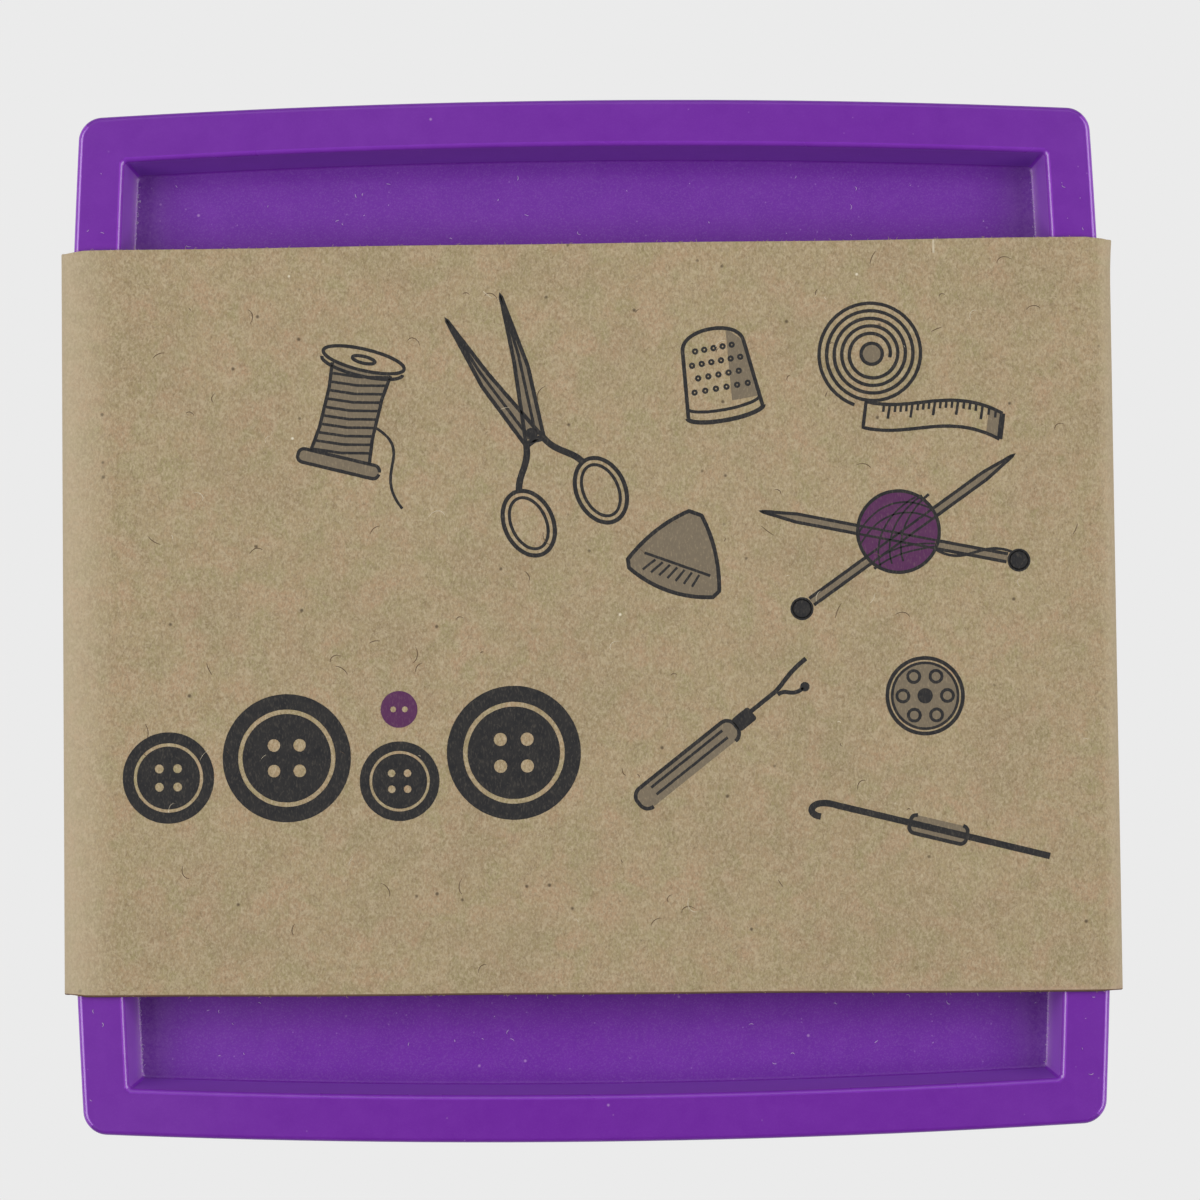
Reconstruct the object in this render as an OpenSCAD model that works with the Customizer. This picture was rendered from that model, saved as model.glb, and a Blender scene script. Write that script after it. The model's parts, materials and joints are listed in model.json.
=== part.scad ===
// Square magnetic dish for dressmaking pins, in the folded card band it is sold in.
// A moulded tray with bowed sides stands on four rubber feet. A ring magnet under its floor is
// held up by a screwed-on base cover. Lengths are millimetres, and the table is at z = 0.

/* [Dish] */
// Width of the dish at its rim, across the middle of two opposite sides
dish_w = 108; // [96:1:130]
// Height of the dish, from the soles of its feet to the rim
dish_h = 25.4; // [23:0.2:40]
// How far each side bows out between the corners
side_bow = 1.5; // [0.5:0.1:4]
// Radius of the outer corners, seen from above
corner_r = 2.5; // [1:0.5:8]
// Thickness of the outer walls
wall_t = 2; // [1.4:0.1:2.4]
// Draft of the outer walls in degrees, wider towards the open underside
wall_draft = 0.5; // [0.25:0.25:1.5]
// Radius that rounds the outer edge of the rim
rim_edge_r = 0.45; // [0.2:0.05:1]

/* [Recess] */
// Width of the flat rim round the recess
rim_w = 4.7; // [4.2:0.1:9]
// Depth of the recess below the rim
recess_depth = 5.4; // [4.6:0.1:9]
// Slope of the recess wall in degrees from upright
recess_slope = 9.5; // [4:0.5:25]
// Radius of the recess corners, seen from above
recess_corner_r = 0.6; // [0.4:0.1:3]
// Radius that rounds the edge between the rim and the recess
recess_edge_r = 0.4; // [0.1:0.05:0.8]
// Radius in the angle between the recess wall and the floor
floor_edge_r = 0.4; // [0.1:0.05:1]
// Thickness of the floor
floor_t = 2; // [1.2:0.1:3]

/* [Magnet] */
// Outer diameter of the ring magnet
magnet_d = 64; // [44:1:80]
// Bore of the ring magnet
magnet_bore = 28; // [16:1:34]
// Height of the ring magnet
magnet_h = 8; // [4:0.5:11]
// Thickness of the steel plate behind the magnet
plate_t = 1.5; // [0.8:0.1:3]
// Thickness of the moulded rings that seat the magnet and hold it up
ring_t = 1.6; // [1:0.1:3]

/* [Base cover] */
// Thickness of the base cover
cover_t = 2.2; // [1.4:0.1:3]
// How far the base cover sits inside the bottom edge of the tray
cover_set = 0.3; // [0:0.1:1]
// Thickness of the stiffening ribs
rib_t = 1.2; // [0.8:0.1:2]
// Depth of the ribs under the floor
rib_h = 4; // [2:0.5:8]
// Height of the upright ribs inside the skirt that the cover stops against
ledge_h = 6; // [3:0.5:10]

/* [Feet and screws] */
// How far the feet, and the screws above them, are set in from the sides of the rim
foot_inset = 21; // [14:1:23]
// Diameter of a rubber foot
foot_d = 10; // [8:0.5:13]
// How far the feet stand out below the bottom edge of the tray
foot_stand = 1.2; // [0.8:0.1:3]
// How deep the feet are let into the base cover
foot_sink = 0.8; // [0.4:0.1:1.2]
// Diameter of the screw's shank
screw_d = 2.9; // [2.2:0.1:3.5]
// Length of the screw under its head
screw_l = 8; // [6:0.5:9.5]
// Diameter of the screw's head
head_d = 5.6; // [4.6:0.1:6.6]
// Height of the screw's head
head_h = 1.7; // [1.2:0.1:2.2]
// Thickness of the cover under the screw's head
head_seat_t = 1.6; // [1:0.1:3]
// Diameter of the screw bosses
boss_d = 7.4; // [6:0.2:9]

/* [Card band] */
// Width of the band, along its travel over the dish
band_w = 77.4; // [70:0.2:90]
// Offset of the band from the middle of the dish
band_offset = 0.15; // [-5:0.05:5]
// Thickness of the card
card_t = 0.4; // [0.3:0.05:0.8]
// Width of the glue flap inside the lower panel
flap_w = 12; // [8:0.5:14]
// Width of the edge that droops beside the softly folded corner
droop_w = 5; // [2:0.5:8]
// Inner radius of the sharp folds
fold_r = 0.7; // [0.3:0.05:0.8]
// Inner radius of the softly folded corner
soft_fold_r = 0.5; // [0.3:0.05:0.6]

/* [Fits] */
// Clearance round a piece that drops into its seat
fit_gap = 0.15; // [0.1:0.05:0.3]
// Gap between faces that are clamped together
seat_gap = 0.05; // [0.02:0.01:0.1]
// Gap between the band and the sides of the dish
band_gap = 0.12; // [0.1:0.01:0.4]
// Gap between the band and the top of the rim
top_gap = 0.3; // [0.25:0.05:0.8]
// How much of the top gap the drooping edge gives up
droop = 0.18; // [0:0.02:0.2]
// Gap between the soles of the feet and the band
sole_gap = 0.1; // [0.05:0.05:0.3]
// Thickness of the glue under the flap
glue_t = 0.15; // [0.05:0.05:0.3]

/* [Hidden] */

plastic = "rebeccapurple";
card = "tan";

$fn = 96;
// Steps along one bowed side, round one corner and round one edge
side_steps = 8;
corner_steps = 6;
edge_steps = 4;
// What a rib or ring runs into the wall that carries it
bite = 0.4;
// Chamfer round the outer face of the base cover
cover_chamfer = 0.2;
// Room in a screw hole past the tip of the screw
tip_room = 0.8;
// What a cutting shape runs past the face it cuts
past = 1;

// Levels, from the table up
sole_z = card_t + sole_gap;
base_z = sole_z + foot_stand;
rim_z = sole_z + dish_h;
floor_z = rim_z - recess_depth;
under_z = floor_z - floor_t;
magnet_top = under_z - seat_gap;
plate_top = magnet_top - magnet_h;
plate_z = plate_top - plate_t;
cover_z = base_z + cover_set;
cover_top = cover_z + cover_t;
head_seat_z = cover_z + foot_sink + head_h + fit_gap;
boss_z = head_seat_z + head_seat_t + seat_gap;
screw_tip_z = head_seat_z + screw_l;

// Plan of the dish. Each side is an arc of side_r, and offsets of the plan keep its centres.
rim_half = dish_w / 2;
side_r = (rim_half * rim_half + side_bow * side_bow) / (2 * side_bow);
base_run = (rim_z - base_z) * tan(wall_draft);
recess_half = rim_half - rim_w;
recess_run = recess_depth * tan(recess_slope);
cavity_half = rim_half - wall_t;
cavity_r = max(corner_r - wall_t, 2 * bite);
core_half = recess_half + wall_t;
core_top = rim_z - wall_t;
cover_run = (rim_z - cover_z) * tan(wall_draft) - fit_gap;

foot_place = rim_half - foot_inset;
corners = [for (y = [-1, 1]) for (x = [-1, 1]) [x, y] * foot_place];
magnet_seat_r = magnet_d / 2 + fit_gap;
spigot_r = magnet_bore / 2 - fit_gap;
hold_ring_r = (magnet_d + magnet_bore) / 4;

// Section of the band, seen from its front edge, along the middle of the card
half_card = card_t / 2;
band_top_x = rim_half + band_gap + half_card;
band_base_x = band_top_x + base_run;
panel_z = half_card;
flap_z = panel_z + card_t + glue_t;
top_z = rim_z + top_gap + half_card;

// Centre of the corner arc, which touches the two side arcs beside it
function corner_at(half, r) =
    let (c = half - side_r) (c + sqrt(2 * pow(side_r - r, 2) - c * c)) / 2;

// Points on an arc about a centre, from one angle to another
function arc(centre, r, from, to, steps) =
    [for (i = [0:steps]) let (a = from + (to - from) * i / steps) centre + r * [cos(a), sin(a)]];

function turned(p, a) = [p.x * cos(a) - p.y * sin(a), p.x * sin(a) + p.y * cos(a)];

// The square with bowed sides, grown by d all round
function plan(half, r, d) =
    let (c = corner_at(half, r), reach = atan2(c, c - half + side_r),
        side = arc([half - side_r, 0], side_r + d, -reach, reach, side_steps),
        bend = arc([c, c], r + d, reach, 90 - reach, corner_steps),
        quarter = concat([for (i = [0:side_steps - 1]) side[i]], [for (i = [0:corner_steps - 1]) bend[i]]))
    [for (q = [0:3]) for (p = quarter) turned(p, 90 * q)];

// Where the inner face of a side wall is, at a distance t along the side
function wall_at(t) = cavity_half - side_r + sqrt(pow(side_r, 2) - t * t);

// One ring of a loft: the plan at one height, grown by d
function level(half, r, d, z) = [for (p = plan(half, r, d)) [p.x, p.y, z]];

// The rings along a section, from points of [growth, height]. Corners grow with the section in
// levels, and keep one radius in even_levels, which suits a wall that slopes far in.
function levels(half, r, section) = [for (s = section) level(half, r, s.x, s.y)];
function even_levels(half, r, section) = [for (s = section) level(half + s.x, r, 0, s.y)];

// A closed solid through rings, whose section runs outwards from the axis, up and back to the axis
module loft(rings) {
    n = len(rings[0]);
    top = (len(rings) - 1) * n;
    walls = [for (k = [0:len(rings) - 2]) for (j = [0:n - 1])
        let (a = k * n + j, b = k * n + (j + 1) % n) each [[a, a + n, b + n], [a, b + n, b]]];
    ends = [[for (j = [0:n - 1]) j], [for (j = [n - 1:-1:0]) top + j]];
    polyhedron([for (ring = rings) each ring], concat(walls, ends));
}

// The moulded shell: one section carried round the plan. It runs out under the floor, up and down
// the groove that cores out the rim, down inside the skirt, up the drafted outside, over the rim
// and down the sloping wall of the recess to the floor.
module tray_shell() {
    slope = tan(recess_slope);
    floor_back = floor_edge_r * tan(45 - recess_slope / 2);
    lip_back = recess_edge_r * tan(45 - recess_slope / 2);
    core = [[(under_z - rim_z) * slope, under_z], [(core_top - rim_z) * slope, core_top]];
    skirt_inside = [[0, core_top], [base_run, base_z]];
    skirt_outside = concat([[base_run - rim_edge_r, base_z], [base_run, base_z + rim_edge_r]],
        arc([-rim_edge_r, rim_z - rim_edge_r], rim_edge_r, 0, 90, edge_steps));
    recess_wall = concat(
        arc([lip_back, rim_z - recess_edge_r], recess_edge_r, 90, 180 - recess_slope, edge_steps),
        arc([-recess_run - floor_back, floor_z + floor_edge_r], floor_edge_r,
            -recess_slope, -90, edge_steps));
    loft(concat(
        levels(core_half, recess_corner_r + wall_t, core),
        levels(cavity_half, cavity_r, skirt_inside),
        levels(rim_half, corner_r, skirt_outside),
        even_levels(recess_half, recess_corner_r, recess_wall)));
}

module ring(outer_r, thickness, from, to) {
    translate([0, 0, from])
        difference() {
            cylinder(r = outer_r, h = to - from);
            translate([0, 0, -past]) cylinder(r = outer_r - thickness, h = to - from + 2 * past);
        }
}

// Ribs from the magnet seat out to the walls, and on the diagonals through the bosses
module floor_ribs() {
    inner = magnet_seat_r + ring_t / 2;
    wall_reach = cavity_half + bite;
    corner_reach = corner_at(cavity_half, cavity_r) * sqrt(2) + cavity_r + bite;
    for (a = [0:45:315])
        rotate(a)
            translate([inner, -rib_t / 2, under_z - rib_h])
                cube([(a % 90 == 0 ? wall_reach : corner_reach) - inner, rib_t, rib_h + bite]);
}

// Short upright ribs inside the skirt that the base cover stops against
module ledge_ribs() {
    for (a = [0:90:270]) for (side = [-1, 1])
        rotate(a)
            translate([wall_at(foot_place) - wall_t, side * foot_place - rib_t / 2, cover_top + seat_gap])
                cube([wall_t + base_run + bite, rib_t, ledge_h]);
}

module screw_hole(from, to) {
    translate([0, 0, from]) cylinder(d = screw_d + 2 * seat_gap, h = to - from);
}

module tray() {
    color(plastic)
        difference() {
            union() {
                tray_shell();
                ring(magnet_seat_r + ring_t, ring_t, plate_z, under_z + bite);
                ring(spigot_r, ring_t, plate_z, under_z + bite);
                floor_ribs();
                ledge_ribs();
                for (p = corners)
                    translate([p.x, p.y, boss_z]) cylinder(d = boss_d, h = under_z + bite - boss_z);
            }
            for (p = corners)
                translate([p.x, p.y, 0]) screw_hole(boss_z - past, screw_tip_z + tip_room);
        }
}

module base_cover() {
    head_room_r = head_d / 2 + fit_gap;
    color(plastic)
        difference() {
            union() {
                loft(levels(cavity_half, cavity_r, [[cover_run - cover_chamfer, cover_z],
                    [cover_run, cover_z + cover_chamfer], [cover_run, cover_top]]));
                ring(hold_ring_r + ring_t / 2, ring_t, cover_top - bite, plate_z - seat_gap);
                for (p = corners)
                    translate([p.x, p.y, cover_top - bite])
                        cylinder(r = head_room_r + ring_t, h = boss_z - seat_gap - cover_top + bite);
            }
            for (p = corners)
                translate([p.x, p.y, 0]) {
                    translate([0, 0, cover_z - past])
                        cylinder(r = foot_d / 2 + fit_gap, h = foot_sink + past);
                    translate([0, 0, cover_z]) cylinder(r = head_room_r, h = head_seat_z - cover_z);
                    screw_hole(head_seat_z - past, boss_z + past);
                }
        }
}

// A ring with chamfered edges
module washer(outer_r, bore_r, from, h, chamfer) {
    rotate_extrude()
        polygon([[bore_r, from + chamfer], [bore_r + chamfer, from], [outer_r - chamfer, from],
            [outer_r, from + chamfer], [outer_r, from + h - chamfer], [outer_r - chamfer, from + h],
            [bore_r + chamfer, from + h], [bore_r, from + h - chamfer]]);
}

module magnet() {
    color("dimgray") washer(magnet_d / 2, magnet_bore / 2, plate_top, magnet_h, 0.5);
}

module back_plate() {
    color("silver") washer(magnet_d / 2, magnet_bore / 2, plate_z, plate_t, 0.2);
}

// Pan-head screw with its head down and a cross recess in it
module screw(place) {
    head_z = head_seat_z - head_h;
    dome = head_h * 0.4;
    slot_w = head_d * 0.18;
    slot_l = head_d * 0.6;
    tip_l = screw_d / 2;
    color("silver")
        translate([place.x, place.y, 0])
            difference() {
                rotate_extrude()
                    polygon(concat([[0, head_z], [head_d / 2 - dome, head_z]],
                        arc([head_d / 2 - dome, head_z + dome], dome, -90, 0, edge_steps),
                        [[head_d / 2, head_seat_z], [screw_d / 2, head_seat_z],
                        [screw_d / 2, screw_tip_z - tip_l], [screw_d / 8, screw_tip_z], [0, screw_tip_z]]));
                for (a = [0, 90])
                    rotate(a)
                        translate([-slot_l / 2, -slot_w / 2, head_z - past])
                            cube([slot_l, slot_w, head_h / 2 + past]);
            }
}

// Round rubber foot with a rolled edge and a hollow in its sole
module foot(place) {
    top = cover_z + foot_sink - seat_gap;
    roll = foot_stand / 2;
    hollow = foot_stand / 4;
    hollow_r = foot_d / 5;
    color("dimgray")
        translate([place.x, place.y, 0])
            rotate_extrude()
                polygon(concat([[0, top], [0, sole_z + hollow], [hollow_r, sole_z + hollow],
                    [hollow_r + hollow, sole_z]],
                    arc([foot_d / 2 - roll, sole_z + roll], roll, -90, 0, edge_steps),
                    [[foot_d / 2, top]]));
}

// Points that round the corner at b, between a and c
function rounded(a, b, c, r, steps) =
    let (u = (a - b) / norm(a - b), v = (c - b) / norm(c - b), half = acos(u * v) / 2,
        middle = (u + v) / norm(u + v), centre = b + middle * r / sin(half),
        from = b + u * r / tan(half) - centre, start = atan2(from.y, from.x),
        sweep = (180 - 2 * half) * (cross(u, v) > 0 ? -1 : 1))
    arc(centre, r, start, start + sweep, steps);

// A path through corner points, each interior corner rounded by its own radius
function bent_path(points, radii) =
    let (last = len(points) - 1)
    concat([points[0]],
        [for (i = [1:last - 1])
            each rounded(points[i - 1], points[i], points[i + 1], radii[i - 1], corner_steps)],
        [points[last]]);

// The same path moved sideways by d
function beside(path, d) =
    let (last = len(path) - 1)
    [for (i = [0:last])
        let (along = path[min(i + 1, last)] - path[max(i - 1, 0)], way = along / norm(along))
        path[i] + d * [-way.y, way.x]];

// The folded sheet: flap, left side, drooping corner, top, right side, lower panel
module band() {
    path = bent_path([[-band_base_x + flap_w, flap_z], [-band_base_x, flap_z],
        [-band_top_x, top_z - droop], [-band_top_x + droop_w, top_z],
        [band_top_x, top_z], [band_base_x, panel_z], [-band_base_x - half_card, panel_z]],
        [fold_r + half_card, soft_fold_r + half_card, droop_w, fold_r + half_card, fold_r + half_card]);
    inner = beside(path, -half_card);
    color(card)
        translate([0, band_offset + band_w / 2, 0])
            rotate([90, 0, 0])
                linear_extrude(band_w)
                    polygon(concat(beside(path, half_card), [for (i = [len(inner) - 1:-1:0]) inner[i]]));
}

// The strip of glue that holds the flap to the lower panel
module glue_line() {
    glue_w = flap_w / 2;
    inset = flap_w / 4;
    color("ivory")
        translate([-band_base_x + inset, band_offset - band_w / 2 + inset, card_t])
            cube([glue_w, band_w - 2 * inset, glue_t]);
}

tray();
base_cover();
magnet();
back_plate();
screw(corners[0]);  // screw_front_left
screw(corners[1]);  // screw_front_right
screw(corners[2]);  // screw_back_left
screw(corners[3]);  // screw_back_right
foot(corners[0]);  // foot_front_left
foot(corners[1]);  // foot_front_right
foot(corners[2]);  // foot_back_left
foot(corners[3]);  // foot_back_right
band();
glue_line();
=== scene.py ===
import json
import math
import random

import bmesh
import bpy
from mathutils import Matrix, Vector
from mathutils.geometry import interpolate_bezier

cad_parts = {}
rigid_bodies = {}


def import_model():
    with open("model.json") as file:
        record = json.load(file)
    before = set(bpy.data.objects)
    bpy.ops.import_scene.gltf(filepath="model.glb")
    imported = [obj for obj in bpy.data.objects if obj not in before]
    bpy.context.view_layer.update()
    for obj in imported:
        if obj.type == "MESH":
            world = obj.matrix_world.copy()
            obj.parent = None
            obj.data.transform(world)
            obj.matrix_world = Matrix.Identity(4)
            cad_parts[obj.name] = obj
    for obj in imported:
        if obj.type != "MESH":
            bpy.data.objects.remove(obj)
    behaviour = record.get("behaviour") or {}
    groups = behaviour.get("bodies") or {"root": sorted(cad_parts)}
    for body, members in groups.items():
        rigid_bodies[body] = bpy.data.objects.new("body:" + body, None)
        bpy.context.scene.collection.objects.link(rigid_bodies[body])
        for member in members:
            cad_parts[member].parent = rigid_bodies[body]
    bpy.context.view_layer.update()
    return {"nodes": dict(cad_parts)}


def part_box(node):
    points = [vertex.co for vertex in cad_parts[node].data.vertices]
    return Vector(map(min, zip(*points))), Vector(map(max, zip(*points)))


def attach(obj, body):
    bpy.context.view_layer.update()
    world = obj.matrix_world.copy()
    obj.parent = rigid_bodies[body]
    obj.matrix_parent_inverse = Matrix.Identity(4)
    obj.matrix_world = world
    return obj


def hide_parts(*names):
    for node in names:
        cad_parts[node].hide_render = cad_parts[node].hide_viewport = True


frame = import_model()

MM = 0.001

# The photographer's camera hangs straight over the dish, a little towards its front edge.
# Its place is measured from the middle of the rim, and its small tilts are in degrees.
RIM_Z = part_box("tray")[1][2]
CAMERA_FROM_RIM = Vector((-0.77, -14.99, 369.70)) * MM
CAMERA_TILT_X, CAMERA_TILT_Y, CAMERA_ROLL = -2.599, 0.283, 0.632
LENS_MM = 107.28
SENSOR_MM = 36

camera_data = bpy.data.cameras.new("photo_camera")
camera_data.lens = LENS_MM
camera_data.sensor_width = SENSOR_MM
camera_data.clip_start = 10 * MM
camera = bpy.data.objects.new("photo_camera", camera_data)
bpy.context.scene.collection.objects.link(camera)
to_camera = (Matrix.Rotation(math.radians(CAMERA_ROLL), 3, "Z")
             @ Matrix.Rotation(math.radians(CAMERA_TILT_Y), 3, "Y")
             @ Matrix.Rotation(math.radians(CAMERA_TILT_X), 3, "X"))
camera.matrix_world = (Matrix.Translation(CAMERA_FROM_RIM + Vector((0, 0, RIM_Z)))
                       @ to_camera.transposed().to_4x4())
bpy.context.scene.camera = camera
bpy.context.scene.view_settings.view_transform = "Standard"

# The table is a seamless pale sheet that glows as evenly as the cut-out background does.
# Soft boxes stand to the left, to the right and behind, and a pale studio surrounds them.
PALE = (0.831, 0.831, 0.831, 1)
TABLE_SIZE = 4.0


def add_node(tree, kind, values=None, **settings):
    """One node, with its settings and the values of its input sockets."""
    node = tree.nodes.new(kind)
    for key, value in settings.items():
        setattr(node, key, value)
    for socket, value in (values or {}).items():
        node.inputs[socket].default_value = value
    return node


bpy.ops.object.select_all(action="DESELECT")
bpy.ops.mesh.primitive_plane_add(size=TABLE_SIZE, location=(0, 0, 0))
table = bpy.context.object
table.name = "table"
table_paint = bpy.data.materials.new("pale_sheet")
table_paint.use_nodes = True
sheet_tree = table_paint.node_tree
sheet_tree.nodes.clear()
glow = add_node(sheet_tree, "ShaderNodeEmission", {"Color": PALE})
sheet_out = add_node(sheet_tree, "ShaderNodeOutputMaterial")
sheet_tree.links.new(glow.outputs[0], sheet_out.inputs[0])
table.data.materials.append(table_paint)

STUDIO_GLOW = 0.07
BOX_SIZE = 0.62, 0.42
world = bpy.context.scene.world or bpy.data.worlds.new("studio")
bpy.context.scene.world = world
world.use_nodes = True
studio_tree = world.node_tree
backdrop = studio_tree.nodes["Background"]
backdrop.inputs["Color"].default_value = PALE
dim = add_node(studio_tree, "ShaderNodeBackground", {"Color": PALE, "Strength": STUDIO_GLOW})
seen = add_node(studio_tree, "ShaderNodeLightPath")
choose = add_node(studio_tree, "ShaderNodeMixShader")
for source, target in ((seen.outputs["Is Camera Ray"], choose.inputs["Fac"]),
                       (dim.outputs[0], choose.inputs[1]), (backdrop.outputs[0], choose.inputs[2]),
                       (choose.outputs[0], studio_tree.nodes["World Output"].inputs["Surface"])):
    studio_tree.links.new(source, target)


def soft_box(name, place, watts):
    """A long lamp with a diffuser, lying level and turned towards the dish."""
    lamp = bpy.data.lights.new(name, "AREA")
    lamp.shape = "RECTANGLE"
    lamp.size, lamp.size_y = BOX_SIZE
    lamp.energy = watts
    stand = bpy.data.objects.new(name, lamp)
    stand.matrix_world = (Matrix.Translation(place)
                          @ Vector(place).to_track_quat("Z", "Y").to_matrix().to_4x4())
    bpy.context.scene.collection.objects.link(stand)


soft_box("left_box", (-0.44, 0.0, 0.48), 2.84)
soft_box("right_box", (0.46, 0.0, 0.46), 2.60)
soft_box("back_box", (0.0, 0.44, 0.49), 0.95)

# The tray is one injection moulding in purple plastic: bowed sides, a flat rim, and a recess with
# sloping walls over the hidden magnet. One section is carried round the plan, as the mould is cut.
# Every new piece is drawn in millimetres, and finish_piece brings it to the frame's metres.
RIM_HALF = 54.0
SIDE_BOW = 1.5
SIDE_R = (RIM_HALF ** 2 + SIDE_BOW ** 2) / (2 * SIDE_BOW)
SIDE_STEPS, CORNER_STEPS, EDGE_STEPS = 24, 10, 6
OUTER_CORNER_R = 2.5
CAVITY_CORNER_R = 0.8
RECESS_CORNER_R = 0.55
RIM_W = 4.83
RECESS_DEPTH = 5.4
RECESS_RUN = 0.72
RIM_EDGE_R = 0.55
LIP_EDGE_R = 0.50
FLOOR_EDGE_R = 0.35
BASE_EDGE_R = 0.2
WALL_T = 2.0
FLOOR_T = 2.0
FLAT_FALL = 0.01
TINY = 0.02
SMOOTH_ANGLE = 35


def box_in_mm(node):
    """The lowest and highest corner of a CAD node, in millimetres."""
    return [Vector(corner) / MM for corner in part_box(node)]


def pick(kind, test):
    """In edit mode, selects only the vertices, edges or faces that pass the test."""
    bpy.ops.mesh.select_all(action="DESELECT")
    bpy.ops.mesh.select_mode(type=kind)
    mesh = bmesh.from_edit_mesh(bpy.context.edit_object.data)
    for item in {"VERT": mesh.verts, "EDGE": mesh.edges, "FACE": mesh.faces}[kind]:
        if test(item):
            item.select_set(True)
    bmesh.update_edit_mesh(bpy.context.edit_object.data)


def add_bowed_outline(half, corner_r, z):
    """Adds one level outline, a square whose sides bow out and meet in rounded corners."""
    centre = half - SIDE_R
    corner = (centre + math.sqrt(2 * SIDE_R ** 2 - centre ** 2)) / 2
    bpy.ops.mesh.primitive_circle_add(vertices=4, radius=corner * math.sqrt(2), location=(0, 0, z),
                                      rotation=(0, 0, math.radians(45)), fill_type="NOTHING")
    bpy.ops.mesh.subdivide(number_cuts=SIDE_STEPS - 1)
    outline = bmesh.from_edit_mesh(bpy.context.edit_object.data)
    for v in [v for v in outline.verts if v.select]:
        x, y = v.co.x, v.co.y
        v.select_set(abs(abs(x) - abs(y)) < TINY)
        if abs(x) > abs(y) + TINY:
            v.co.x = math.copysign(centre + math.sqrt(SIDE_R ** 2 - y * y), x)
        elif abs(y) > abs(x) + TINY:
            v.co.y = math.copysign(centre + math.sqrt(SIDE_R ** 2 - x * x), y)
    bmesh.update_edit_mesh(bpy.context.edit_object.data)
    half_turn = math.radians(45) - math.asin(corner / SIDE_R)
    bpy.ops.mesh.bevel(offset=corner_r * math.tan(half_turn), segments=CORNER_STEPS,
                       affect="VERTICES")


def start_piece(name):
    """An empty mesh, open in edit mode, with nothing else selected."""
    bpy.ops.object.select_all(action="DESELECT")
    bpy.ops.object.add(type="MESH")
    piece = bpy.context.object
    piece.name = piece.data.name = name
    bpy.ops.object.mode_set(mode="EDIT")
    return piece


def is_open(edge):
    return len(edge.link_faces) < 2


def rounded(before, corner, after, radius):
    """Points of the arc that rounds one corner of a section, from one leg to the other."""
    corner = Vector(corner)
    near, far = (Vector(before) - corner).normalized(), (Vector(after) - corner).normalized()
    opening = near.angle(far)
    centre = corner + (near + far).normalized() * radius / math.sin(opening / 2)
    spoke = corner + near * radius / math.tan(opening / 2) - centre
    turn = math.copysign(math.pi - opening, far.cross(near))
    return [centre + Matrix.Rotation(turn * i / EDGE_STEPS, 2) @ spoke
            for i in range(EDGE_STEPS + 1)]


def finish_piece(piece, body, slot, *nodes):
    """Scales the mesh to metres, keeps flat faces flat beside round edges, and places the piece."""
    bpy.ops.mesh.select_all(action="SELECT")
    bpy.ops.transform.resize(value=(MM, MM, MM), center_override=(0, 0, 0))
    bpy.ops.object.mode_set(mode="OBJECT")
    bpy.ops.object.shade_smooth_by_angle(angle=math.radians(SMOOTH_ANGLE))
    weighted = piece.modifiers.new("flat_faces", "WEIGHTED_NORMAL")
    weighted.keep_sharp = True
    bpy.ops.object.modifier_apply(modifier=weighted.name)
    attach(piece, body)
    if nodes:
        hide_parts(*nodes)


tray_low, tray_high = box_in_mm("tray")
rim_z, base_z = tray_high.z, tray_low.z
floor_z = rim_z - RECESS_DEPTH
centre_of_floor = (0, floor_z)
foot_of_wall = (RIM_HALF - RIM_W - RECESS_RUN, floor_z)
lip_of_recess = (RIM_HALF - RIM_W, rim_z - FLAT_FALL)
edge_of_rim = (RIM_HALF, rim_z)
edge_of_base = (tray_high.x, base_z)
inside_of_base = (RIM_HALF - WALL_T, base_z + FLAT_FALL)
ceiling = (RIM_HALF - WALL_T, floor_z - FLOOR_T)
recess = (rounded(centre_of_floor, foot_of_wall, lip_of_recess, FLOOR_EDGE_R)
          + rounded(foot_of_wall, lip_of_recess, edge_of_rim, LIP_EDGE_R))
outside = (rounded(lip_of_recess, edge_of_rim, edge_of_base, RIM_EDGE_R)
           + rounded(edge_of_rim, edge_of_base, inside_of_base, BASE_EDGE_R))
levels = ([(out, RECESS_CORNER_R, z) for out, z in recess]
          + [(out, OUTER_CORNER_R + out - RIM_HALF, z) for out, z in outside]
          + [(out, CAVITY_CORNER_R, z) for out, z in (inside_of_base, ceiling)])
tray = start_piece("moulded_tray")
add_bowed_outline(*levels[0])
bpy.ops.mesh.select_linked()
bpy.ops.mesh.edge_face_add()
bpy.ops.mesh.poke()
for level in levels[1:]:
    add_bowed_outline(*level)
    pick("EDGE", is_open)
    bpy.ops.mesh.bridge_edge_loops()
pick("EDGE", is_open)
bpy.ops.mesh.edge_face_add()
bpy.ops.mesh.poke()
bpy.ops.mesh.select_all(action="SELECT")
bpy.ops.mesh.normals_make_consistent(inside=False)
finish_piece(tray, "dish", "purple_plastic", "tray")

RIM_PURPLES = (0.148, 0.0135, 0.330, 1), (0.166, 0.0195, 0.358, 1)
FLOOR_PURPLES = (0.135, 0.0105, 0.316, 1), (0.153, 0.0155, 0.342, 1)
# The wall purples are paler than the rim's: painted sheen for the lamps' glancing reflection off
# the steep walls, stronger on the side walls, which face the side lamps.
SIDE_WALL_SHEEN_PURPLES = (0.298, 0.0750, 0.560, 1), (0.325, 0.0870, 0.595, 1)
END_WALL_SHEEN_PURPLES = (0.208, 0.0130, 0.480, 1), (0.226, 0.0170, 0.505, 1)
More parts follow.
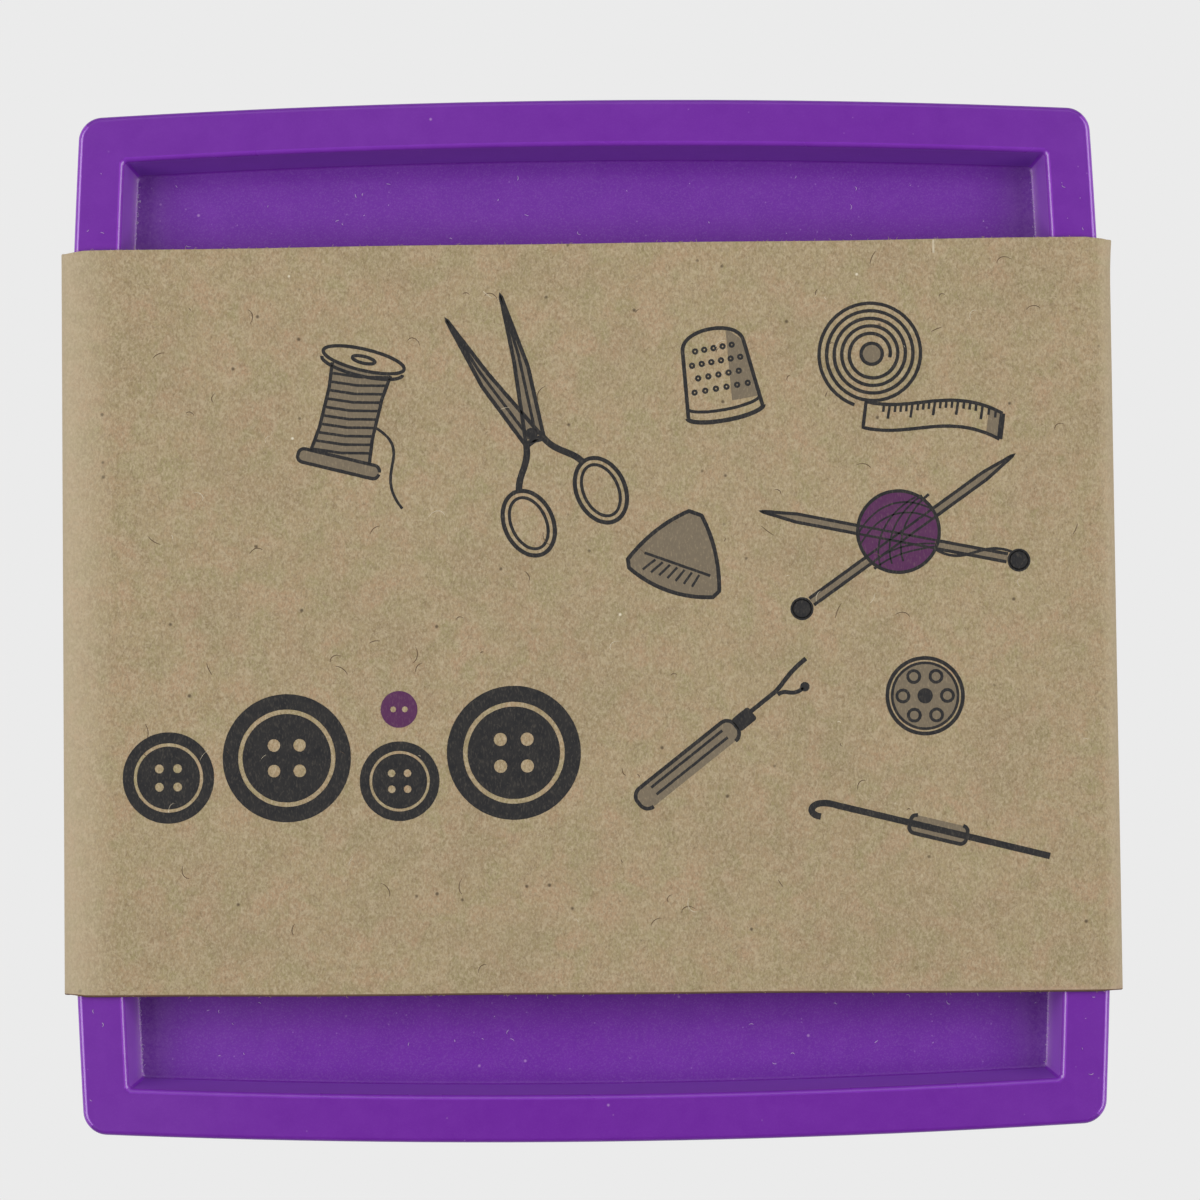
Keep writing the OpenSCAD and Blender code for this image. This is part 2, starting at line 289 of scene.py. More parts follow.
# The edge purples are paler again: painted highlights on the rounded edges turned to the side
# lamps, and a weaker painted highlight on the lips of the end walls.
EDGE_HIGHLIGHT_PURPLES = (0.245, 0.0400, 0.490, 1), (0.275, 0.0500, 0.530, 1)
END_LIP_HIGHLIGHT_PURPLES = (0.190, 0.0250, 0.420, 1), (0.210, 0.0320, 0.450, 1)
# This colour is settled dust; at the foot of the side walls it also makes a painted highlight.
DUST_AND_HIGHLIGHT = (0.400, 0.220, 0.540, 1)


def node_material(name):
    """A new material with its Principled shader and its Object coordinates."""
    material = bpy.data.materials.new(name)
    material.use_nodes = True
    tree = material.node_tree
    place = add_node(tree, "ShaderNodeTexCoord").outputs["Object"]
    return material, tree, tree.nodes["Principled BSDF"], place


def noise(tree, place, scale, detail, lean=0.0, stretch=1.0):
    """A noise pattern, drawn out along one direction if it is stretched."""
    turned = add_node(tree, "ShaderNodeMapping", {"Rotation": (0, 0, math.radians(lean)),
                                                  "Scale": (1, 1 / stretch, 1)})
    texture = add_node(tree, "ShaderNodeTexNoise", {"Scale": scale, "Detail": detail,
                                                    "Distortion": 0.5})
    tree.links.new(place, turned.inputs["Vector"])
    tree.links.new(turned.outputs["Vector"], texture.inputs["Vector"])
    return texture.outputs["Fac"]


def spread(tree, value, low, high, to_low=0.0, to_high=1.0):
    """Stretches a stretch of values over another, and holds it at both ends."""
    ramp = add_node(tree, "ShaderNodeMapRange", {"From Min": low, "From Max": high,
                                                 "To Min": to_low, "To Max": to_high})
    tree.links.new(value, ramp.inputs["Value"])
    return ramp.outputs["Result"]


def blend(tree, factor, a, b):
    """Mixes two colours, each a plain one or another node's."""
    mix = add_node(tree, "ShaderNodeMix", data_type="RGBA")
    tree.links.new(factor, mix.inputs["Factor"])
    for value, socket in ((a, mix.inputs["A"]), (b, mix.inputs["B"])):
        if isinstance(value, tuple):
            socket.default_value = value
        else:
            tree.links.new(value, socket)
    return mix.outputs["Result"]


def product(tree, a, b):
    """Two values multiplied."""
    times = add_node(tree, "ShaderNodeMath", operation="MULTIPLY")
    for socket, value in enumerate((a, b)):
        tree.links.new(value, times.inputs[socket])
    return times.outputs[0]


def along(tree, place, axis, start, end, share):
    """A ramp along one axis, from nothing at one place in mm to a share at another."""
    apart = add_node(tree, "ShaderNodeSeparateXYZ")
    tree.links.new(place, apart.inputs[0])
    return spread(tree, apart.outputs[axis], start * MM, end * MM, 0, share)


def specks(tree, place, apart, radius, share, strength=1.0):
    """Scattered specks: how far apart and how wide in mm, and the share of places that has one."""
    spot = add_node(tree, "ShaderNodeTexVoronoi", {"Scale": 1 / (apart * MM), "Randomness": 1.0})
    split = add_node(tree, "ShaderNodeSeparateColor")
    chosen = add_node(tree, "ShaderNodeMath", {1: share}, operation="LESS_THAN")
    tree.links.new(place, spot.inputs["Vector"])
    tree.links.new(spot.outputs["Color"], split.inputs["Color"])
    tree.links.new(split.outputs["Red"], chosen.inputs[0])
    dot = spread(tree, spot.outputs["Distance"], radius / apart, 0.4 * radius / apart, 0, strength)
    return product(tree, chosen.outputs[0], dot)


def bumped(tree, shader, height, strength, depth):
    """Raises the surface by a pattern, by so many mm at most."""
    bump = add_node(tree, "ShaderNodeBump", {"Strength": strength, "Distance": depth * MM})
    tree.links.new(height, bump.inputs["Height"])
    tree.links.new(bump.outputs["Normal"], shader.inputs["Normal"])


def satin_plastic(name, purples, grain, rough, dusty, dust_and_highlights=(), shine=0.5):
    """Moulded purple plastic: faint flow in its colour, the mould's grain, settled dust, and ramps
    of the dust colour, which at the foot of the side walls also paint a highlight.
    """
    material, tree, shader, place = node_material(name)
    flow = noise(tree, place, 38, 3)
    spark = noise(tree, place, 1 / (0.12 * MM), 2)
    colour = blend(tree, spread(tree, noise(tree, place, 420, 3), 0.25, 0.75), *purples)
    film = spread(tree, noise(tree, place, 7000, 2), 0.48, 0.80, 0, 0.20 * dusty)
    colour = blend(tree, film, colour, DUST_AND_HIGHLIGHT)
    colour = blend(tree, specks(tree, place, 0.9, 0.11, 0.22 * dusty, 0.45), colour, DUST_AND_HIGHLIGHT)
    colour = blend(tree, specks(tree, place, 4.2, 0.20, 0.35, 0.80), colour, DUST_AND_HIGHLIGHT)
    # Ramps of the dust colour: drifts of dust on the floor, and at the foot of the side walls dust
    # with a painted highlight.
    for dust_and_highlight in dust_and_highlights:
        clumps = spread(tree, noise(tree, place, 3000, 3), 0.35, 0.65, 0.35, 1.0)
        colour = blend(tree, product(tree, along(tree, place, *dust_and_highlight), clumps), colour, DUST_AND_HIGHLIGHT)
    tree.links.new(colour, shader.inputs["Base Color"])
    shader.inputs["Specular IOR Level"].default_value = shine
    tree.links.new(spread(tree, flow, 0.3, 0.7, rough - 0.04, rough + 0.04),
                   shader.inputs["Roughness"])
    bumped(tree, shader, spark, grain, 0.02)
    shader.inputs["Sheen Weight"].default_value = 0.10
    shader.inputs["Sheen Roughness"].default_value = 0.35
    return material


DRIFT_W, DRIFT_SHARE = 5, 0.35
WALL_DUST_AND_HIGHLIGHT_H, WALL_DUST_AND_HIGHLIGHT_SHARE = 1.8, 0.8
wall_foot = RIM_HALF - RIM_W - RECESS_RUN
floor_drifts = [("X", side * (wall_foot - DRIFT_W), side * (wall_foot - SIDE_BOW / 2), DRIFT_SHARE)
                for side in (-1, 1)]
# The ramp up the foot of the side walls is settled dust and a painted highlight along the foot.
wall_dust_and_highlight = ("Z", floor_z + WALL_DUST_AND_HIGHLIGHT_H, floor_z, WALL_DUST_AND_HIGHLIGHT_SHARE)
for finish in (satin_plastic("purple_satin", RIM_PURPLES, 0.25, 0.34, 0.25),
               satin_plastic("purple_floor", FLOOR_PURPLES, 0.50, 0.44, 1.0, floor_drifts),
               satin_plastic("purple_side_wall_sheen", SIDE_WALL_SHEEN_PURPLES, 0.30, 0.40, 0.6, [wall_dust_and_highlight]),
               satin_plastic("purple_end_wall_sheen", END_WALL_SHEEN_PURPLES, 0.30, 0.42, 0.6),
               satin_plastic("purple_edge_highlight", EDGE_HIGHLIGHT_PURPLES, 0.15, 0.22, 0.25, shine=0.9),
               satin_plastic("purple_end_lip_highlight", END_LIP_HIGHLIGHT_PURPLES, 0.15, 0.28, 0.25, shine=0.6)):
    tray.data.materials.append(finish)
RIM, FLOOR, SIDE_WALL, END_WALL, SIDE_EDGE, END_LIP = range(6)
FLOOR_FILLET_UP, LEVEL_UP = 0.4, 0.995
in_recess = RIM_HALF - RIM_W / 2
for face in tray.data.polygons:
    place, upward = face.center / MM, face.normal.z
    on_side = abs(place.x) > abs(place.y)
    inside = max(abs(place.x), abs(place.y)) < in_recess
    # Walls of the recess take the paler purples of painted sheen; the side walls take more of it
    # than the end walls.
    if inside and floor_z - TINY < place.z < rim_z - LIP_EDGE_R:
        on_floor = place.z < floor_z + TINY or (upward > FLOOR_FILLET_UP and not on_side)
        face.material_index = FLOOR if on_floor else SIDE_WALL if on_side else END_WALL
    # Rounded edges turned to the side lamps take the painted highlight, and the end lips a weaker
    # painted highlight.
    elif place.z > rim_z - RIM_EDGE_R and upward < LEVEL_UP:
        to_side = abs(face.normal.x) > abs(face.normal.y)
        face.material_index = SIDE_EDGE if to_side else END_LIP if inside else RIM

# The band is one strip of recycled kraft card, cut, creased and wrapped round the dish, and
# glued to its own flap underneath. It is drawn from the middle of the sheet and then thickened.
# Handling has softened its left fold and blunted its corners, and its cut edges aren't square.
CARD_T = 0.4
BAND_GAP = 0.12
FLAP_W = 12.0
FOLD_R = 0.9
SOFT_FOLD_R = 0.7
DROOP_W, DROOP = 5.0, 0.18
DROOP_R = 5.0
BACK_EDGE_LEFT, BACK_EDGE_RIGHT = 38.65, 39.0
FRONT_EDGE_LEFT, FRONT_EDGE_RIGHT = -38.42, -39.03
EDGE_WAVE = 0.05
PANEL_STEP = 1.6
BLUNT_R = 1.3
BLUNT_NEAR_CUT = 30
BLUNTED = {(-1, 1): 0.35, (1, 1): 0.35, (-1, -1): 0.2, (1, -1): 0.05}
FLARE, FLARE_L = 0.22, 5.0
FLARE_IN, FLARE_DOWN = 2, 4
CUT_EDGE_R, CUT_EDGE_ANGLE = 0.12, 60
CUT_LEAN = 0.16


def stepped(path, step):
    """The same path with points added, so that no stretch is longer than one step."""
    points = [path[0]]
    for here, there in zip(path, path[1:]):
        parts = math.ceil((there - here).length / step)
        points += [here.lerp(there, i / parts) for i in range(1, parts + 1)]
    return points


band_low, band_high = box_in_mm("band")
side_x, side_base_x = RIM_HALF + BAND_GAP + CARD_T / 2, band_high.x - CARD_T / 2
panel_z, top_z = CARD_T / 2, band_high.z - CARD_T / 2
flap_z = box_in_mm("glue_line")[1].z + CARD_T / 2
flap_end = Vector((-side_base_x + FLAP_W, flap_z))
flap_fold = Vector((-side_base_x, flap_z))
soft_fold = Vector((-side_x, top_z - DROOP))
droop_start = Vector((-side_x + DROOP_W, top_z))
top_fold = Vector((side_x, top_z))
base_fold = Vector((side_base_x, panel_z))
panel_end = Vector((band_low.x, panel_z))
sheet_path = stepped([flap_end, *rounded(flap_end, flap_fold, soft_fold, FOLD_R),
                      *rounded(flap_fold, soft_fold, droop_start, SOFT_FOLD_R),
                      *rounded(soft_fold, droop_start, top_fold, DROOP_R),
                      *rounded(droop_start, top_fold, base_fold, FOLD_R),
                      *rounded(top_fold, base_fold, panel_end, FOLD_R), panel_end], PANEL_STEP)
band = start_piece("kraft_band")
bpy.ops.mesh.primitive_plane_add(size=2, location=(sheet_path[0].x + 1, 0, sheet_path[0].y))
pick("VERT", lambda v: v.co.x > sheet_path[0].x + 1)
bpy.ops.mesh.delete(type="VERT")
pick("EDGE", is_open)
bpy.ops.mesh.subdivide(number_cuts=round(2 * BACK_EDGE_LEFT / PANEL_STEP))
for here, there in zip(sheet_path, sheet_path[1:]):
    step = there - here
    bpy.ops.mesh.extrude_region_move(TRANSFORM_OT_translate={"value": (step.x, 0, step.y)})


def cut_line(x, side):
    """Where the knife cut the back edge (side 1) or the front edge (side -1) of the card."""
    t = (x + side_x) / (2 * side_x)
    left, right = ((BACK_EDGE_LEFT, BACK_EDGE_RIGHT) if side > 0 else
                   (FRONT_EDGE_LEFT, FRONT_EDGE_RIGHT))
    return left + (right - left) * t + EDGE_WAVE * math.sin(x / 7 + side) * math.sin(x / 17)


def worn(v):
    """Trims a point of the sheet to the cut lines, blunts the top corners and flares one end."""
    x, span, z = v.co.x, v.co.y, v.co.z
    y = (cut_line(x, 1) + cut_line(x, -1)) / 2 + span * (cut_line(x, 1) - cut_line(x, -1)) / 2
    for (side_of_x, side_of_y), depth in BLUNTED.items():
        to_corner = Vector((side_x - side_of_x * x, top_z - z)).length
        if side_of_y * span > 0:
            y -= (side_of_y * depth * abs(span) ** BLUNT_NEAR_CUT
                  * math.exp(-(to_corner / BLUNT_R) ** 2))
    back_end = max(0, (y - BACK_EDGE_RIGHT + FLARE_L) / FLARE_L)
    right_top = math.exp(-((side_x - x) / FLARE_IN) ** 2 - ((top_z - z) / FLARE_DOWN) ** 2)
    return (x + FLARE * back_end ** 2 * right_top, y, z)


sheet = bmesh.from_edit_mesh(band.data)
for v in sheet.verts:
    v.co = worn(v)
bpy.ops.mesh.select_all(action="SELECT")
bpy.ops.mesh.normals_make_consistent(inside=False)
bpy.ops.object.mode_set(mode="OBJECT")
thick = band.modifiers.new("card_thickness", "SOLIDIFY")
thick.thickness, thick.offset = CARD_T, 0
bpy.ops.object.modifier_apply(modifier=thick.name)
for v in band.data.vertices:
    if v.co.y < cut_line(v.co.x, -1) + TINY and top_z - CARD_T < v.co.z < top_z:
        v.co.y -= CUT_LEAN
cut = band.modifiers.new("cut_edges", "BEVEL")
cut.width, cut.segments = CUT_EDGE_R, 2
cut.limit_method, cut.angle_limit = "ANGLE", math.radians(CUT_EDGE_ANGLE)
bpy.ops.object.modifier_apply(modifier=cut.name)
bpy.ops.object.mode_set(mode="EDIT")
finish_piece(band, "sleeve", "kraft_card", "band")

KRAFT_TAN = (0.382, 0.297, 0.168, 1)
KRAFT_PALE = (0.500, 0.408, 0.272, 1)
KRAFT_PINK = (0.418, 0.286, 0.172, 1)
KRAFT_OLIVE = (0.338, 0.286, 0.148, 1)
KRAFT_DARK = (0.255, 0.190, 0.110, 1)
FOLD_HIGHLIGHT_PALE = (0.560, 0.460, 0.320, 1)
EDGE_PINK = (0.470, 0.315, 0.235, 1)
FIBRE_DARK = (0.180, 0.115, 0.065, 1)
SPECK_DARK = (0.110, 0.080, 0.050, 1)
SPECK_PALE = (0.720, 0.650, 0.500, 1)
# The cut colour is partly the pulp's own dark core and partly painted shade on the front cut, which
# faces away from the lamps.
CUT_PULP_AND_SHADE = (0.150, 0.080, 0.055, 1)
CUT_FACING = -0.3
# The fold strips are painted highlights, paler near the top of the folds that turn to the side
# lamps.
FOLD_HIGHLIGHTS = (-49.0, -54.0, 0.56), (-53.9, -54.5, 0.45), (52.8, 54.4, 0.60)
FOLD_HIGHLIGHT_DEPTH = 4.0


def curls(tree, place, scale, thin, strength):
    """Curly fibres: the level lines of one noise, kept only where another one is high."""
    line = add_node(tree, "ShaderNodeMath", {1: 0.5, 2: thin}, operation="COMPARE")
    tree.links.new(noise(tree, place, scale, 1), line.inputs[0])
    kept = spread(tree, noise(tree, place, scale * 0.8, 1, 60), 0.52, 0.60, 0, strength)
    return product(tree, line.outputs[0], kept)


def kraft(name):
    """Recycled card: cloudy pulp, curly fibres that lie every way, stray specks and painted
    highlights on the folds.
    """
    material, tree, shader, place = node_material(name)
    pink = spread(tree, noise(tree, place, 230, 4), 0.40, 0.62)
    colour = blend(tree, pink, KRAFT_TAN, KRAFT_PINK)
    olive = spread(tree, noise(tree, place, 340, 4, 90), 0.44, 0.66)
    colour = blend(tree, olive, colour, KRAFT_OLIVE)
    clouds = spread(tree, noise(tree, place, 130, 3, 40), 0.46, 0.72, 0, 0.35)
    colour = blend(tree, clouds, colour, KRAFT_DARK)
    pulp = noise(tree, place, 3600, 3, 15, 1.5)
    for pattern, low, high, shade in (
            (pulp, 0.44, 0.80, KRAFT_PALE),
            (noise(tree, place, 3900, 3, 75, 1.5), 0.48, 0.84, KRAFT_DARK),
            (noise(tree, place, 6000, 2, -40, 1.8), 0.48, 0.82, KRAFT_PALE),
            (noise(tree, place, 6400, 2, 120, 1.8), 0.50, 0.86, KRAFT_DARK)):
        colour = blend(tree, spread(tree, pattern, low, high), colour, shade)
    colour = blend(tree, curls(tree, place, 1000, 0.035, 0.40), colour, KRAFT_PALE)
    colour = blend(tree, curls(tree, place, 1250, 0.030, 0.24), colour, FIBRE_DARK)
    colour = blend(tree, specks(tree, place, 2.3, 0.25, 0.20, 0.9), colour, SPECK_DARK)
    colour = blend(tree, specks(tree, place, 1.1, 0.12, 0.12, 0.6), colour, KRAFT_DARK)
    colour = blend(tree, specks(tree, place, 3.1, 0.20, 0.14), colour, SPECK_PALE)
    # Painted highlights on the folds, strongest near the top edge.
    near_top = along(tree, place, "Z", top_z - FOLD_HIGHLIGHT_DEPTH, top_z - DROOP, 1)
    for from_x, to_x, share in FOLD_HIGHLIGHTS:
        lit_fold = product(tree, along(tree, place, "X", from_x, to_x, share), near_top)
        colour = blend(tree, lit_fold, colour, FOLD_HIGHLIGHT_PALE)
    near_front = along(tree, place, "Y", FRONT_EDGE_LEFT, FRONT_EDGE_RIGHT, 0.6)
    colour = blend(tree, near_front, colour, EDGE_PINK)
    tree.links.new(colour, shader.inputs["Base Color"])
    bumped(tree, shader, pulp, 0.35, 0.03)
    shader.inputs["Roughness"].default_value = 0.92
    shader.inputs["Specular IOR Level"].default_value = 0.2
    return material


def cut_pulp_and_shade(name):
    """The front cut of the card: raw dark pulp darkened further by painted shade, matt and a little
    torn.
    """
    material, tree, shader, place = node_material(name)
    pulp = noise(tree, place, 3800, 3)
    tree.links.new(blend(tree, pulp, CUT_PULP_AND_SHADE, FIBRE_DARK), shader.inputs["Base Color"])
    bumped(tree, shader, pulp, 0.6, 0.04)
    shader.inputs["Roughness"].default_value = 0.95
    return material


for finish in (kraft("kraft_card"), cut_pulp_and_shade("card_cut_and_shade")):
    band.data.materials.append(finish)
# Only the cut faces turned to the front take the dark cut finish: the pulp's own colour with
# painted shade.
for face in band.data.polygons:
    if face.normal.y < CUT_FACING:
        face.material_index = 1

# The print on the band is a row of bold buttons over a scatter of line-drawn sewing things. It is
# charcoal ink with one plum, a little rough at its edges, and pressed into the fibres of the card.
# Each motif is drawn upright about its own middle, and the scatter gives its place and lean.
INK_LINE = 0.36
INK_STEP = 0.3
INK_RISE = 0.02
INK_ROUGH, INK_ROUGH_SIZE = 0.05, 0.35
CURVE_STEPS = 24
MERGED = TINY / 20


def arc(x, y, across, up=None, start=0, end=360):
    """Points of an ellipse, or of a stretch of one, from one angle to another in degrees."""
    up = across if up is None else up
    steps = max(8, math.ceil(abs(end - start) / 360 * math.tau * max(across, up) / INK_STEP))
    angles = [math.radians(start + (end - start) * i / steps) for i in range(steps + 1)]
    return [(x + across * math.cos(a), y + up * math.sin(a)) for a in angles]


def swept(start, pull_start, pull_end, end):
    """Points of one smooth curve between two ends, drawn towards two handles."""
    return [tuple(p) for p in interpolate_bezier(start, pull_start, pull_end, end, CURVE_STEPS)]


def panel(x0, y0, x1, y1, r):
    """Points of an upright rectangle with rounded corners."""
    return (arc(x1 - r, y1 - r, r, r, 0, 90) + arc(x0 + r, y1 - r, r, r, 90, 180)
            + arc(x0 + r, y0 + r, r, r, 180, 270) + arc(x1 - r, y0 + r, r, r, 270, 360))


def bold_button(r):
    """A filled disc with a pale groove and four pale holes, sitting on its lowest point."""
    holes = [arc(x, r + y, 0.10 * r) for x in (-0.2 * r, 0.2 * r) for y in (-0.2 * r, 0.2 * r)]
    return [("fill", path, 0)
            for path in (arc(0, r, r), arc(0, r, 0.76 * r), arc(0, r, 0.69 * r), *holes)]


def thread_spool():
    left = [(-3.1, 4.6), (-2.8, 2.0), (-2.8, -2.2), (-3.1, -4.8)]
    right = [(-x, y) for x, y in left]
    wound = [("line", [(-2.9, y), (0, y + 0.25), (2.9, y + 0.9)], 0.8)
             for y in (-4.6, -3.7, -2.8, -1.9, -1.0, -0.1, 0.8, 1.7, 2.6, 3.5)]
    return [("tint", left + right[::-1], 0), ("tint_over", panel(-4.3, -6.2, 4.3, -4.8, 0.6), 0),
            ("line", left, 1), ("line", right, 1), *wound,
            ("line", panel(-4.3, -6.2, 4.3, -4.8, 0.6), 1), ("line", arc(0, 5.6, 4.3, 1.1), 1),
            ("line", arc(0, 5.6, 1.2, 0.35), 1), ("line", arc(0, 5.0, 4.3, 1.1, 180, 360), 1),
            ("line", swept((2.9, -1.0), (7.5, -2.5), (3.5, -5.5), (7.5, -8.5)), 0.8)]


def scissors():
    drawn = []
    for side in (-1, 1):
        blade = [(side * x, y)
                 for x, y in ((-0.9, -2.2), (1.0, -2.6), (2.6, 5.0), (3.1, 13.0), (1.5, 6.0))]
        shank = swept(*[(side * x, y)
                        for x, y in ((-0.9, -2.2), (-1.4, -4.4), (-3.0, -4.8), (-3.6, -6.4))])
        drawn += [("tint" if side > 0 else "tint_over", blade, 0),
                  ("line", blade + blade[:1], 1.15),
                  ("line", [(side * 0.4, -1.8), (side * 2.2, 6.5), (side * 2.9, 11.6)], 0.9),
                  ("line", shank, 1.9), ("line", arc(side * -4.1, -9.9, 2.5, 3.5), 1.2),
                  ("line", arc(side * -4.1, -9.9, 1.8, 2.8), 0.9)]
    return drawn + [("fill", arc(0, -1.6, 0.65), 0)]


def thimble():
    side = [(-3.9, -4.4), (-3.2, 2.6)]
    dome = swept((-3.2, 2.6), (-2.9, 4.9), (2.9, 4.9), (3.2, 2.6))
    dimples = [("line", arc(x * (1 - 0.035 * y), y, 0.22), 0.7)
               for row, y in enumerate((-1.9, -0.5, 0.9, 2.3))
               for x in [-2.6 + 0.5 * (row % 2) + 1.05 * i for i in range(6 - row % 2)]]
    return [("tint", [(0.9, -3.4), (3.8, -3.4), (3.1, 2.6), (1.6, 4.1)], 0),
            ("line", side, 1.1), ("line", [(-x, y) for x, y in side], 1.1), ("line", dome, 1.1),
            ("line", arc(0, -4.4, 4.0, 0.9, 180, 360), 1.3),
            ("line", arc(0, -3.4, 3.8, 0.8, 180, 360), 0.9),
            *dimples]


def tape_measure():
    steps_a_turn, steps = 48, 228
    turns = [(math.cos(a) * (1.9 + 0.125 * a), math.sin(a) * (1.9 + 0.125 * a))
             for a in [math.tau * i / steps_a_turn for i in range(steps)]]
    upper = swept((0.4, -5.0), (5.4, -5.2), (8.6, -1.6), (14.5, -3.4))
    lower = [(x + 0.2, y - 2.7) for x, y in upper]
    ticks = [("line", [(x, y), (x + 0.07, y - (1.5 if i % 4 == 0 else 0.8))], 0.75)
             for i, (x, y) in list(enumerate(upper))[3:23]]
    return [("line", turns, 1), ("line", arc(0, 0, 1.1), 1), ("tint", arc(0, 0, 1.1), 0),
            ("line", upper, 1), ("line", [upper[0], *lower], 1), *ticks,
            ("tint", [upper[-1], upper[-3], lower[-3], lower[-1]], 0),
            ("line", [upper[-1], lower[-1]], 1.6)]


def yarn_and_needles():
    drawn = []
    for side in (-1, 1):
        tip, knob = Vector((side * 13.5, 5.2)), Vector((side * -11.5, -5.6))
        across = (tip - knob).orthogonal().normalized() * 0.42
        foot, point = knob.lerp(tip, 0.045), knob.lerp(tip, 0.86)
        needle = [foot - across, point - across, tip, point + across, foot + across]
        drawn += [("tint" if side > 0 else "tint_over", needle, 0), ("line", needle, 0.95),
                  ("line", arc(*knob, 1.0), 1.1), ("fill", arc(*knob, 1.0), 0)]
    ball = arc(0, 0, 4.2)
    strands = [swept((-4.1, 0.4 + d), (-1.5, 3.3 + d), (1.6, 3.2 + d), (3.9, 1.2 + d))
               for d in (-0.8, 0.3)]
    strands += [swept((-2.6 + d, -3.1), (-2.9 + d, 0.4), (0.4 + d, 2.6), (2.5 + 0.6 * d, 3.1))
                for d in (0.0, 1.2, 2.4)]
    strands += [swept((-3.3, -2.5 - d), (-0.6, -1.2 - d), (1.9, -1.6 - d), (3.6, -2.1 - 0.3 * d))
                for d in (0.0, 0.7)]
    return drawn + [("plum", ball, 0), ("line", ball, 1.1),
                    *[("line", strand, 0.8) for strand in strands],
                    ("line", swept((3.3, -2.6), (6.0, -5.2), (8.0, -2.6), (11.0, -4.6)), 0.8)]


def tailors_chalk():
    edge = (swept((-4.6, -3.2), (-1.6, -4.4), (1.6, -4.4), (4.6, -3.2))
            + swept((5.0, -2.4), (4.0, 0.6), (2.4, 2.8), (0.7, 4.4))
            + swept((-0.7, 4.4), (-2.4, 2.8), (-4.0, 0.6), (-5.0, -2.4)))
    lit_fold = [("line", [(-3.2 + 0.9 * i, -2.9), (-2.3 + 0.8 * i, -1.5)], 0.7) for i in range(7)]
    return [("tint", edge, 0), ("line", edge + edge[:1], 1.15),
            ("line", [(-3.6, -1.2), (3.6, -1.2)], 0.8), *lit_fold]


def crochet_hook():
    hook = [(0, -13.0), (0, 9.6), *swept((0, 9.6), (0.2, 12.4), (-1.7, 12.6), (-1.5, 10.9))]
    return [("line", hook, 1.9), ("tint", panel(-0.95, -4.2, 0.95, 1.8, 0.6), 0),
            ("line", panel(-0.95, -4.2, 0.95, 1.8, 0.6), 1.1)]


def stitch_ripper():
    fork = [(-0.2, 4.0), (-0.2, 7.0), *swept((-0.2, 7.0), (-0.3, 8.6), (-0.9, 9.0), (-0.9, 11.8))]
    prong = swept((0.2, 7.2), (0.2, 8.4), (1.3, 8.0), (1.3, 9.7))
    handle = panel(-1.2, -11.0, 1.2, 1.8, 1.0)
    return [("tint", handle, 0), ("line", handle, 1.1),
            ("line", [(-0.5, -9.0), (-0.5, 0.4)], 0.8), ("line", [(0.4, -9.0), (0.4, 0.4)], 0.8),
            ("fill", panel(-0.8, 1.8, 0.8, 4.0, 0.3), 0), ("line", fork, 1.3), ("line", prong, 1.2),
            ("fill", arc(1.3, 9.9, 0.5), 0)]


def bobbin():
    windows = [(2.3 * math.cos(a), 2.3 * math.sin(a)) for a in [math.tau * i / 6 for i in range(6)]]
    return [("line", arc(0, 0, 3.9), 1.1), ("line", arc(0, 0, 3.4), 0.8),
            ("tint", arc(0, 0, 3.4), 0), ("fill", arc(0, 0, 0.8), 0),
            *[("line", arc(x, y, 0.62), 0.9) for x, y in windows]]


BUTTON_ROW_Y = -20.8
BUTTONS = (4.7, -43.6), (6.6, -31.4), (4.1, -19.8), (6.9, -8.0)
button_row = [(bold_button(r), x, BUTTON_ROW_Y, 0) for r, x in BUTTONS]
scatter = [(thread_spool(), -24.5, 21.5, -14), (scissors(), -6.5, 20.5, 24),
           (thimble(), 13.5, 25.5, 10), (tape_measure(), 29.5, 27.0, -12),
           (yarn_and_needles(), 32.0, 8.5, 12), (tailors_chalk(), 9.5, 6.5, -20),
           (stitch_ripper(), 13.5, -12.5, -52), (bobbin(), 34.5, -8.5, 0),
           (crochet_hook(), 34.5, -22.0, 76)]
plum_button = [("plum", path, 0)
               for path in (arc(0, 0, 1.9), arc(-0.6, 0, 0.32), arc(0.6, 0, 0.32))]
printed = button_row + scatter + [(plum_button, -19.8, -9.3, 0)]


def ink(name, colour, faded, fading):
    """Ink on rough card: the fibres that it didn't cover show through in flecks."""
    material, tree, shader, place = node_material(name)
    flecks = noise(tree, place, 5600, 3, 12, 2.5)
    thin = spread(tree, noise(tree, place, 900, 2), 0.3, 0.8, 0, 0.14)
    printed_over = blend(tree, thin, colour, faded)
    tree.links.new(blend(tree, spread(tree, flecks, 0.52, 0.80, 0, fading), printed_over, faded),
                   shader.inputs["Base Color"])
    bumped(tree, shader, flecks, 0.3, 0.03)
    shader.inputs["Roughness"].default_value = 0.8
    shader.inputs["Specular IOR Level"].default_value = 0.25
    return material


def made_mesh(name, drawing):
    """Makes a drawn curve a mesh, with nothing else selected."""
    bpy.ops.object.select_all(action="DESELECT")
    piece = bpy.data.objects.new(name, drawing)
    bpy.context.collection.objects.link(piece)
    bpy.context.view_layer.objects.active = piece
    piece.select_set(True)
    bpy.ops.object.convert(target="MESH")
    return bpy.context.object


def open_merged():
    """Opens the active mesh in edit mode, selected all over, and joins points that coincide."""
    bpy.ops.object.mode_set(mode="EDIT")
    bpy.ops.mesh.select_all(action="SELECT")
    bpy.ops.mesh.remove_doubles(threshold=MERGED)


def paint(piece, material):
    """Gives a piece one material in place of those it has."""
    piece.data.materials.clear()
    piece.data.materials.append(material)


